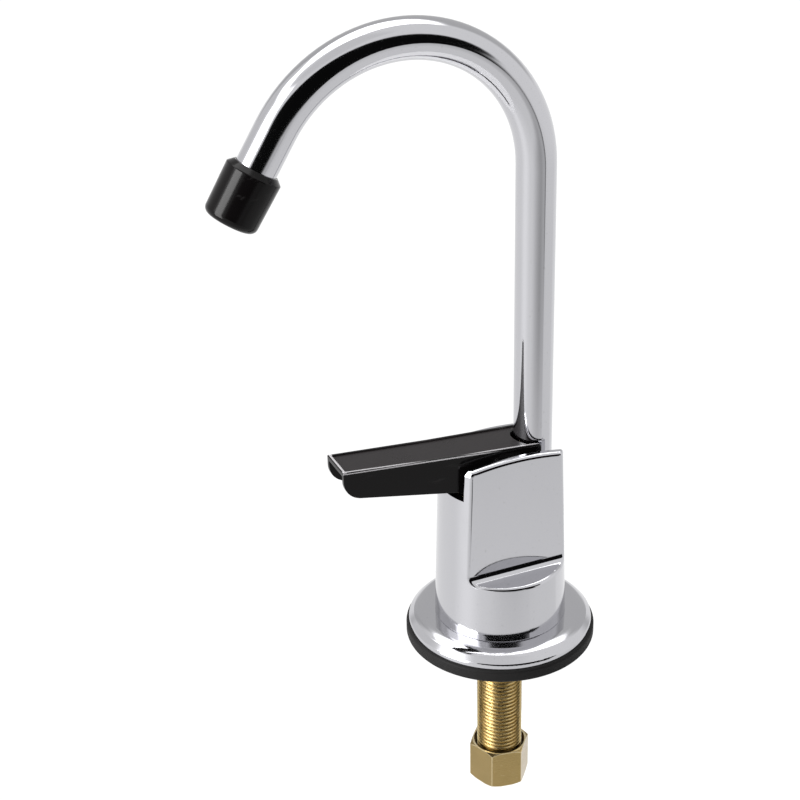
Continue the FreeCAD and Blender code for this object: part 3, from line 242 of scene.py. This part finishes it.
CHROME_DARK = colour(0.545, 0.545, 0.570)
CHROME_LIGHT = colour(0.575, 0.573, 0.598)
CHROME_SPECK = colour(0.42, 0.42, 0.42)
BLACK_DARK = colour(0.0022, 0.0018, 0.0019)
BLACK_LIGHT = colour(0.0038, 0.0032, 0.0034)
BLACK_SCUFF = colour(0.030, 0.028, 0.029)
# Edges of the black plastic, lighter partly from wear and partly as a painted highlight
BLACK_EDGE_WEAR_AND_HIGHLIGHT = colour(0.018, 0.017, 0.017)
CHANNEL_DUST = colour(0.0190, 0.0165, 0.0172)
# The pale grey of the painted highlight lines on the lever's lip
LIP_PAINTED_HIGHLIGHT = colour(0.40, 0.39, 0.40)
GASKET_DARK = colour(0.0022, 0.0020, 0.0021)
GASKET_LIGHT = colour(0.0060, 0.0055, 0.0056)
SEAL_DARK = colour(0.016, 0.016, 0.017)
SEAL_LIGHT = colour(0.030, 0.029, 0.029)
TURNED_BRASS_DARK = colour(0.235, 0.172, 0.068)
TURNED_BRASS_LIGHT = colour(0.325, 0.236, 0.100)
PALE_BRASS = colour(0.80, 0.70, 0.48)
# Nicks, and edges lighter partly from wear and partly as a painted highlight
RUBBED_BRASS_AND_EDGE_HIGHLIGHT = colour(0.95, 0.84, 0.58)
STEEL_DARK = colour(0.50, 0.50, 0.51)
STEEL_LIGHT = colour(0.64, 0.64, 0.65)
STEEL_SPOT = colour(0.30, 0.29, 0.28)
NYLON_DARK = colour(0.74, 0.71, 0.62)
NYLON_LIGHT = colour(0.82, 0.80, 0.74)
FLOOR_DARK = colour(0.73, 0.73, 0.73)
FLOOR_LIGHT = colour(0.75, 0.75, 0.75)
STUDIO_WHITE = colour(1.0, 1.0, 1.0)


def make_chrome():
    """Polished plating: faint wipe marks, dust specks and a slight waviness of the metal below."""
    finish = Finish("polished_chrome")
    wipe = finish.noise(60.0, 4.0, 0.6, finish.stretched(1.0, 1.0, 0.35))
    specks = finish.noise(900.0, 2.0).above(0.70, 0.03)
    tint = finish.mix(wipe, CHROME_DARK, CHROME_LIGHT)
    tint = finish.mix(specks * 0.25, tint, CHROME_SPECK)
    roughness = 0.055 + wipe * 0.05 + specks * 0.04
    waves = finish.noise(45.0, 1.0) + finish.noise(700.0, 2.0) * 0.02
    normal = finish.bump(waves, 0.05, 0.0004)
    return finish.close({"Metallic": 1.0}, {"Base Color": tint, "Roughness": roughness, "Normal": normal})


def lever_highlight_and_dust(finish):
    """Painted highlight lines on the lip, on its +X side and at the tip, and on the +X side just under its
    top edge, fading towards the heel; and dust on the channel's floor.
    """
    run = finish.axis("Y") - LEVER_TIP
    inward = LEVER_TIP_HALF_WIDTH + run * LEVER_WIDENING - finish.axis("X")
    down = LEVER_TIP_LEVEL + run * LEVER_SLOPE - finish.axis("Z")
    on_top = down.between(SURFACE_START, SURFACE_END, SURFACE_SOFTNESS)
    on_side = inward.between(SURFACE_START, SURFACE_END, SURFACE_SOFTNESS)
    side_line = inward.between(LIP_HIGHLIGHT_START, LIP_HIGHLIGHT_END, LIP_HIGHLIGHT_SOFTNESS) * on_top
    tip_line = run.between(LIP_HIGHLIGHT_START, LIP_HIGHLIGHT_END, LIP_HIGHLIGHT_SOFTNESS) * on_top
    edge_line = down.between(EDGE_HIGHLIGHT_START, EDGE_HIGHLIGHT_END, EDGE_HIGHLIGHT_SOFTNESS) * on_side
    edge_line = edge_line * (1.0 - run.above(EDGE_HIGHLIGHT_LENGTH, EDGE_HIGHLIGHT_FADE))
    in_channel = inward.above(LIP_WIDTH, SHARP_STEP) * run.above(LIP_WIDTH, SHARP_STEP)
    dust = in_channel * down.between(DUST_START, DUST_END, SHARP_STEP)
    return side_line + tip_line * (1.0 - side_line) + edge_line, dust


def make_black_plastic():
    """Moulded plastic: fine grain, a few scuffs, edges that hands have polished and that are painted a
    little lighter, partly as wear and partly as a painted highlight, and painted highlight lines along the
    lever's lip.
    """
    finish = Finish("moulded_black")
    grain = finish.noise(2600.0, 3.0, 0.6)
    patches = finish.noise(70.0, 3.0)
    scuffs = finish.noise(320.0, 5.0, 0.65, finish.stretched(1.0, 0.25, 1.0)).above(0.64, 0.05)
    edge_wear_and_highlight = finish.edges(0.0004)
    # Painted highlight lines along the lever's lip, and dust in its channel
    lip_highlight, dust = lever_highlight_and_dust(finish)
    tint = finish.mix(patches, BLACK_DARK, BLACK_LIGHT)
    tint = finish.mix(scuffs * 0.25, tint, BLACK_SCUFF)
    # Edges lighter: partly wear, partly a painted highlight
    tint = finish.mix(edge_wear_and_highlight * 0.4, tint, BLACK_EDGE_WEAR_AND_HIGHLIGHT)
    tint = finish.mix(dust * (0.7 + patches * 0.6), tint, CHANNEL_DUST)
    # Painted highlight: pale lines on the lip's top on the +X side and at the tip, and under the +X top
    # edge
    tint = finish.mix(lip_highlight * (0.8 + grain * 0.4), tint, LIP_PAINTED_HIGHLIGHT)
    roughness = 0.09 + patches * 0.05 + grain * 0.04 + scuffs * 0.10 + dust * 0.15
    normal = finish.bump(grain + patches * 0.5, 0.12, 0.00006)
    constants = {"IOR": 1.49, "Metallic": 0.0, "Specular IOR Level": 0.15, "Coat Roughness": 0.12}
    wires = {"Base Color": tint, "Roughness": roughness, "Normal": normal, "Coat Weight": edge_wear_and_highlight * 0.25}
    return finish.close(constants, wires)


def make_rubber(name, dark, light):
    """Moulded rubber: dusty and matt, with fine pores."""
    finish = Finish(name)
    dust = finish.noise(180.0, 5.0, 0.6)
    pores = finish.noise(3200.0, 2.0)
    tint = finish.mix(dust, dark, light)
    roughness = 0.55 + dust * 0.2 + pores * 0.08
    normal = finish.bump(pores + dust * 0.6, 0.25, 0.00008)
    constants = {"IOR": 1.5, "Metallic": 0.0, "Specular IOR Level": 0.22}
    return finish.close(constants, {"Base Color": tint, "Roughness": roughness, "Normal": normal})


def make_brass(name, dark, light, gloss):
    """Machined brass: turning lines, tarnish, nicks, edges lighter partly from wear and partly as a painted
    highlight, and a paler tone above the nut.
    """
    finish = Finish(name)
    tarnish = finish.noise(130.0, 4.0, 0.6)
    turning = finish.noise(240.0, 2.0, 0.5, finish.stretched(0.4, 0.4, 14.0))
    nicks = finish.noise(800.0, 3.0).above(0.68, 0.03)
    edge_wear_and_highlight = finish.edges(0.0006)
    above_nut = finish.axis("Z").above(NUT_TOP, SHARP_STEP)
    tint = finish.mix(tarnish, dark, light)
    tint = finish.mix(above_nut, tint, PALE_BRASS)
    # Nicks are real marks; the lighter edges are partly wear and partly a painted highlight
    tint = finish.mix(nicks * 0.10 + edge_wear_and_highlight * 0.4, tint, RUBBED_BRASS_AND_EDGE_HIGHLIGHT)
    roughness = gloss + tarnish * 0.12 + turning * 0.10 - nicks * 0.06 - edge_wear_and_highlight * 0.05
    normal = finish.bump(turning + tarnish * 0.4 + nicks * 0.5, 0.18, 0.00008)
    return finish.close({"Metallic": 1.0}, {"Base Color": tint, "Roughness": roughness, "Normal": normal})


def make_steel():
    """Plain stainless steel: fine drawn lines and a few darker spots."""
    finish = Finish("plain_steel")
    lines = finish.noise(500.0, 3.0, 0.6, finish.stretched(1.0, 1.0, 6.0))
    spots = finish.noise(260.0, 4.0).above(0.64, 0.05)
    tint = finish.mix(lines, STEEL_DARK, STEEL_LIGHT)
    tint = finish.mix(spots * 0.3, tint, STEEL_SPOT)
    roughness = 0.22 + lines * 0.16 + spots * 0.1
    normal = finish.bump(lines, 0.12, 0.00005)
    return finish.close({"Metallic": 1.0}, {"Base Color": tint, "Roughness": roughness, "Normal": normal})


def make_nylon():
    """Natural nylon: slightly yellow, soft gloss."""
    finish = Finish("natural_nylon")
    clouds = finish.noise(220.0, 4.0)
    tint = finish.mix(clouds, NYLON_DARK, NYLON_LIGHT)
    roughness = 0.38 + clouds * 0.14
    normal = finish.bump(clouds + finish.noise(2400.0) * 0.3, 0.12, 0.00006)
    constants = {"IOR": 1.53, "Metallic": 0.0}
    return finish.close(constants, {"Base Color": tint, "Roughness": roughness, "Normal": normal})


def dress_nodes(finishes):
    """Gives each CAD node the finish of its material slot."""
    for entry in frame["record"]["subparts"]:
        node = frame["nodes"][entry["node"]]
        node.data.materials.clear()
        node.data.materials.append(finishes[entry["material_slot"]])


# Shank thread, made by Geometry Nodes: one ridge along a helix over a plain core

THREAD_PITCH = 0.0014111
THREAD_MAJOR_RADIUS = 0.00714
THREAD_DEPTH = 0.00078
THREAD_CREST = 0.00022
THREAD_FOOT = 0.00120
SHANK_BOTTOM = -0.053
SHANK_TOP = 0.0245
SHANK_BORE_RADIUS = 0.0039
SUPPLY_RADIUS = 0.00485
SUPPLY_TOP = -0.043
RIDGE_BOTTOM = NUT_TOP - THREAD_PITCH * 2
RIDGE_TOP = DECK_LEVEL + THREAD_PITCH
TURN_STEPS = 48
CORE_STEPS = 96


class Plan(Board):
    """A Geometry Nodes tree with named inputs for its sizes."""

    def __init__(self, name):
        super().__init__(bpy.data.node_groups.new(name, "GeometryNodeTree"))
        self.tree.interface.new_socket("Geometry", in_out="OUTPUT", socket_type="NodeSocketGeometry")
        self.sizes = {}

    def size(self, name, value):
        """Adds an input with its value, and gives back its wire."""
        socket = self.tree.interface.new_socket(name, in_out="INPUT", socket_type="NodeSocketFloat")
        socket.default_value = value
        self.sizes[socket.identifier] = value
        return self.add("NodeGroupInput", {}, {}, name)

    def close(self, geometry, material):
        whole = self.add("GeometryNodeRealizeInstances", {}, {"Geometry": geometry})
        painted = self.add("GeometryNodeSetMaterial", {}, {"Geometry": whole, "Material": material})
        self.add("NodeGroupOutput", {}, {"Geometry": painted})

    def bake(self, name):
        """Turns the tree's result into a plain mesh object at the origin."""
        holder = bpy.data.objects.new(name, bpy.data.meshes.new(name))
        bpy.context.scene.collection.objects.link(holder)
        modifier = holder.modifiers.new("plan", "NODES")
        modifier.node_group = self.tree
        for identifier, value in self.sizes.items():
            modifier[identifier] = value
        bpy.context.view_layer.update()
        evaluated = holder.evaluated_get(bpy.context.evaluated_depsgraph_get())
        mesh = bpy.data.meshes.new_from_object(evaluated)
        holder.modifiers.remove(modifier)
        holder.data = mesh
        return holder


def make_thread(material):
    """The helical ridge of the thread, as one swept profile."""
    plan = Plan("shank_thread_plan")
    pitch = plan.size("Pitch", THREAD_PITCH)
    major_radius = plan.size("Major Radius", THREAD_MAJOR_RADIUS)
    depth = plan.size("Depth", THREAD_DEPTH)
    crest = plan.size("Crest", THREAD_CREST)
    foot = plan.size("Foot", THREAD_FOOT)
    bottom = plan.size("Bottom", RIDGE_BOTTOM)
    top = plan.size("Top", RIDGE_TOP)
    length = top - bottom
    middle = major_radius - depth * 0.5
    spiral = plan.add("GeometryNodeCurveSpiral", {}, {
        "Resolution": TURN_STEPS, "Rotations": length / pitch, "Start Radius": middle,
        "End Radius": middle, "Height": length, "Reverse": False,
    })
    upright = plan.add("GeometryNodeSetCurveNormal", {"mode": "Z_UP"}, {"Curve": spiral})
    profile = plan.add("GeometryNodeCurvePrimitiveQuadrilateral", {"mode": "TRAPEZOID"}, {
        "Bottom Width": foot, "Top Width": crest, "Offset": 0.0, "Height": depth,
    })
    ridge = plan.add("GeometryNodeCurveToMesh", {}, {
        "Curve": upright, "Profile Curve": profile, "Fill Caps": True,
    })
    lift = plan.add("ShaderNodeCombineXYZ", {}, {"X": 0.0, "Y": 0.0, "Z": bottom})
    placed = plan.add("GeometryNodeTransform", {}, {"Geometry": ridge, "Translation": lift})
    flat = plan.add("GeometryNodeSetShadeSmooth", {}, {"Geometry": placed, "Shade Smooth": False})
    plan.close(flat, material)
    return plan.bake("shank_thread")


def turned_mesh(name, outline, steps):
    """A closed turned piece from its half section, as (radius, height) in order."""
    points = []
    for step in range(steps):
        angle = 2.0 * math.pi * step / steps
        x = math.cos(angle)
        y = math.sin(angle)
        points += [(radius * x, radius * y, height) for radius, height in outline]
    count = len(outline)
    faces = []
    for step in range(steps):
        here = step * count
        there = (step + 1) % steps * count
        for index in range(count):
            after = (index + 1) % count
            faces.append((here + index, there + index, there + after, here + after))
    mesh = bpy.data.meshes.new(name)
    mesh.from_pydata(points, [], faces)
    mesh.validate()
    mesh.update()
    turned = bpy.data.objects.new(name, mesh)
    bpy.context.scene.collection.objects.link(turned)
    return turned


def make_shank(material):
    """The shank's core, with the thread's ridge from inside the nut up into the gasket's hole."""
    core_radius = THREAD_MAJOR_RADIUS - THREAD_DEPTH
    core = turned_mesh("shank_core", [
        (SUPPLY_RADIUS, SHANK_BOTTOM),
        (THREAD_MAJOR_RADIUS, SHANK_BOTTOM),
        (THREAD_MAJOR_RADIUS, RIDGE_BOTTOM),
        (core_radius, RIDGE_BOTTOM),
        (core_radius, RIDGE_TOP),
        (THREAD_MAJOR_RADIUS, RIDGE_TOP),
        (THREAD_MAJOR_RADIUS, SHANK_TOP),
        (SHANK_BORE_RADIUS, SHANK_TOP),
        (SHANK_BORE_RADIUS, SUPPLY_TOP),
        (SUPPLY_RADIUS, SUPPLY_TOP),
    ], CORE_STEPS)
    core.data.materials.append(material)
    thread = make_thread(material)
    for piece in (core, thread):
        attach(piece, "base")
    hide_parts("shank")


# Studio: a pale floor, soft light all round, and the camera


def make_floor():
    corners = []
    for step in range(FLOOR_STEPS):
        angle = 2.0 * math.pi * step / FLOOR_STEPS
        corners.append((FLOOR_RADIUS * math.cos(angle), FLOOR_RADIUS * math.sin(angle), FLOOR_LEVEL))
    mesh = bpy.data.meshes.new("floor")
    mesh.from_pydata(corners, [], [tuple(range(FLOOR_STEPS))])
    floor = bpy.data.objects.new("floor", mesh)
    bpy.context.scene.collection.objects.link(floor)
    finish = Finish("pale_floor")
    grain = finish.noise(14.0, 3.0)
    tint = finish.mix(grain, FLOOR_DARK, FLOOR_LIGHT)
    constants = {"Metallic": 0.0, "Roughness": 0.8, "Specular IOR Level": 0.05}
    floor.data.materials.append(finish.close(constants, {"Base Color": tint}))


def dim_walls(azimuth, elevation):
    """How bright the walls are: dimmer behind, at the sides and high up, with a glow low ahead."""
    behind = elevation.between(4.0, 46.0, 5.0) * azimuth.between(-172.0, -70.0, 8.0)
    left = elevation.between(4.0, 40.0, 6.0) * azimuth.between(-76.0, -30.0, 6.0)
    right = azimuth.above(50.0, 20.0) * (1.0 - elevation.above(-18.0, 6.0))
    high = azimuth.between(4.0, 120.0, 10.0) * elevation.above(52.0, 5.0)
    shade = azimuth.above(66.0, 28.0) * (1.0 - azimuth.above(112.0, 24.0))
    shade = shade * elevation.between(-28.5, -12.0, 5.0)
    glow = azimuth.between(-14.0, 20.0, 16.0) * (1.0 - elevation.above(-12.0, 5.0))
    walls = WALL_LIGHT - behind * BEHIND_DIMMING - left * LEFT_DIMMING - right * RIGHT_DIMMING
    return walls - high * HIGH_DIMMING - shade * SHADE_DIMMING + glow * GLOW_BRIGHTENING


def light_lamps(azimuth, elevation):
    """What the lamps add: diffusers overhead, ahead and in the corner, and a strong strip ahead."""
    overhead = elevation.above(49.0, 4.0) * azimuth.between(-200.0, -22.0, 8.0)
    ahead = elevation.between(20.0, 47.0, 4.0) * azimuth.between(-18.0, 25.0, 4.0)
    corner = elevation.between(38.0, 52.0, 4.0) * azimuth.between(-44.0, -10.0, 6.0)
    strip = elevation.between(-10.0, 27.0, 3.0) * azimuth.between(-8.0, 25.0, 3.0)
    diffusers = overhead.larger(ahead).larger(corner)
    return diffusers * (DIFFUSER_LIGHT - WALL_LIGHT) + strip * (STRIP_LIGHT - WALL_LIGHT)


def mask_dark_side(azimuth, elevation):
    """1 on the dark side of the room, a tilted ellipse with a tail below its far end."""
    turn = math.radians(DARK_SIDE_TILT)
    sideways = azimuth - DARK_SIDE_AZIMUTH
    upwards = elevation - DARK_SIDE_ELEVATION
    along = sideways * math.cos(turn) + upwards * math.sin(turn)
    across = upwards * math.cos(turn) - sideways * math.sin(turn)
    spread = (along / DARK_SIDE_LENGTH) ** 2.0 + (across / DARK_SIDE_HEIGHT) ** 2.0
    tail = azimuth.between(108.0, 124.0, 3.0) * elevation.between(-23.0, -2.0, 2.0)
    return (1.0 - spread.above(1.0, 0.12)).larger(tail)


def make_world():
    """A soft studio by direction, with an even backdrop where the camera looks past the faucet."""
    world = bpy.data.worlds.new("soft_room")
    bpy.context.scene.world = world
    world.use_nodes = True
    room = Pattern(world.node_tree, "Generated")
    facing = {0: room.axis("X"), 1: 0.0 - room.axis("Y")}
    azimuth = room.add("ShaderNodeMath", {"operation": "ARCTAN2"}, facing) * (180.0 / math.pi)
    rise = {0: room.axis("Z")}
    elevation = room.add("ShaderNodeMath", {"operation": "ARCSINE"}, rise) * (180.0 / math.pi)
    walls = dim_walls(azimuth, elevation)
    lamps = light_lamps(azimuth, elevation)
    lit_part = 1.0 - mask_dark_side(azimuth, elevation) * DARK_SIDE_DIMMING
    room_light = (walls + lamps) * lit_part
    seen = room.add("ShaderNodeLightPath", {}, {}, "Is Camera Ray")
    strength = room_light + (BACKDROP_LIGHT - room_light) * seen
    background = room.add("ShaderNodeBackground", {}, {"Color": STUDIO_WHITE, "Strength": strength})
    room.add("ShaderNodeOutputWorld", {}, {"Surface": background})


def make_camera():
    camera = bpy.data.cameras.new("camera")
    camera.lens = CAMERA_LENS
    camera.sensor_width = SENSOR_WIDTH
    camera.clip_start = 0.01
    camera.clip_end = 20.0
    holder = bpy.data.objects.new("camera", camera)
    bpy.context.scene.collection.objects.link(holder)
    azimuth = math.radians(CAMERA_AZIMUTH)
    pitch = math.radians(CAMERA_PITCH)
    level = math.cos(pitch)
    forward = Vector((-math.sin(azimuth) * level, math.cos(azimuth) * level, -math.sin(pitch)))
    right = forward.cross(Vector((0.0, 0.0, 1.0))).normalized()
    above = right.cross(forward)
    axes = Matrix((right, above, -forward)).transposed()
    turn = Matrix.Rotation(math.radians(CAMERA_ROLL), 3, "Z")
    holder.matrix_world = Matrix.Translation(CAMERA_PLACE) @ (axes @ turn).to_4x4()
    bpy.context.scene.camera = holder
    bpy.context.scene.view_settings.view_transform = "Standard"


# The faucet and its studio, put together

brass = make_brass("turned_brass", TURNED_BRASS_DARK, TURNED_BRASS_LIGHT, 0.12)
finishes = {
    "chrome": make_chrome(),
    "black_plastic": make_black_plastic(),
    "rubber": make_rubber("gasket_rubber", GASKET_DARK, GASKET_LIGHT),
    "seal_rubber": make_rubber("seal_rubber", SEAL_DARK, SEAL_LIGHT),
    "brass": brass,
    "cast_brass": make_brass("cast_brass", PALE_BRASS, PALE_BRASS, 0.34),
    "steel": make_steel(),
    "nylon": make_nylon(),
}
dress_nodes(finishes)
make_shank(brass)
make_world()
make_floor()
make_camera()
